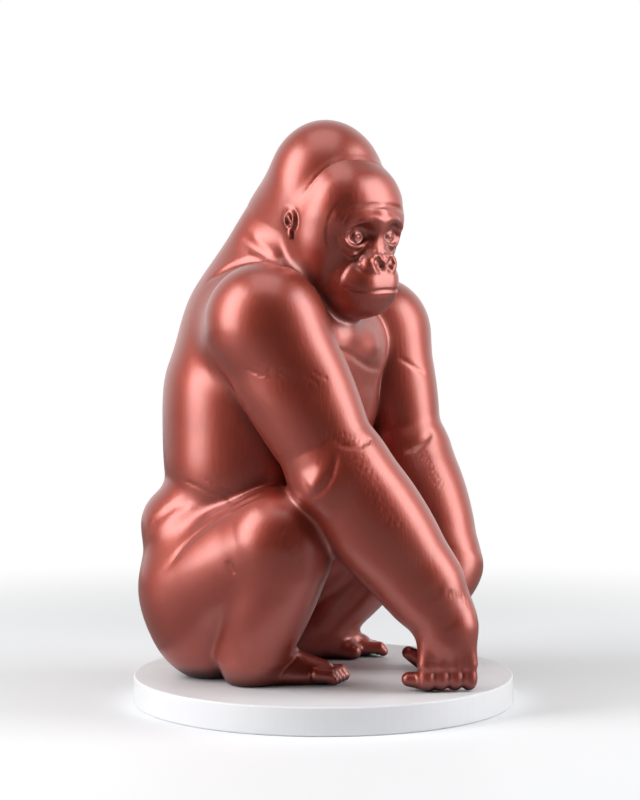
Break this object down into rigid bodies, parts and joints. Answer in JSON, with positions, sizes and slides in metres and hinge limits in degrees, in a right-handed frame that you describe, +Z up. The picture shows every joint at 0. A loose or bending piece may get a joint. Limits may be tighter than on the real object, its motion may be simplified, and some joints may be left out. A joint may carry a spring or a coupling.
{
  "type": "gorilla figurine",
  "caption": "Seated gorilla figurine leaning on its knuckles, metallic copper red, fixed on a thin round white base.",
  "frame": {"origin": "middle of the round base's underside", "axes": "+Z up, from the base to the crest of the head; the gorilla faces -Y and its left hand is at +X"},
  "size_m": [0.2, 0.2, 0.3029],
  "materials": {
    "copper_red_paint": "metallic copper red paint, satin, over a cast figure",
    "white_lacquer": "smooth satin white"
  },
  "bodies": {
    "root": {"gorilla_figure": "copper_red_paint", "round_base": "white_lacquer"}
  },
  "joints": []
}
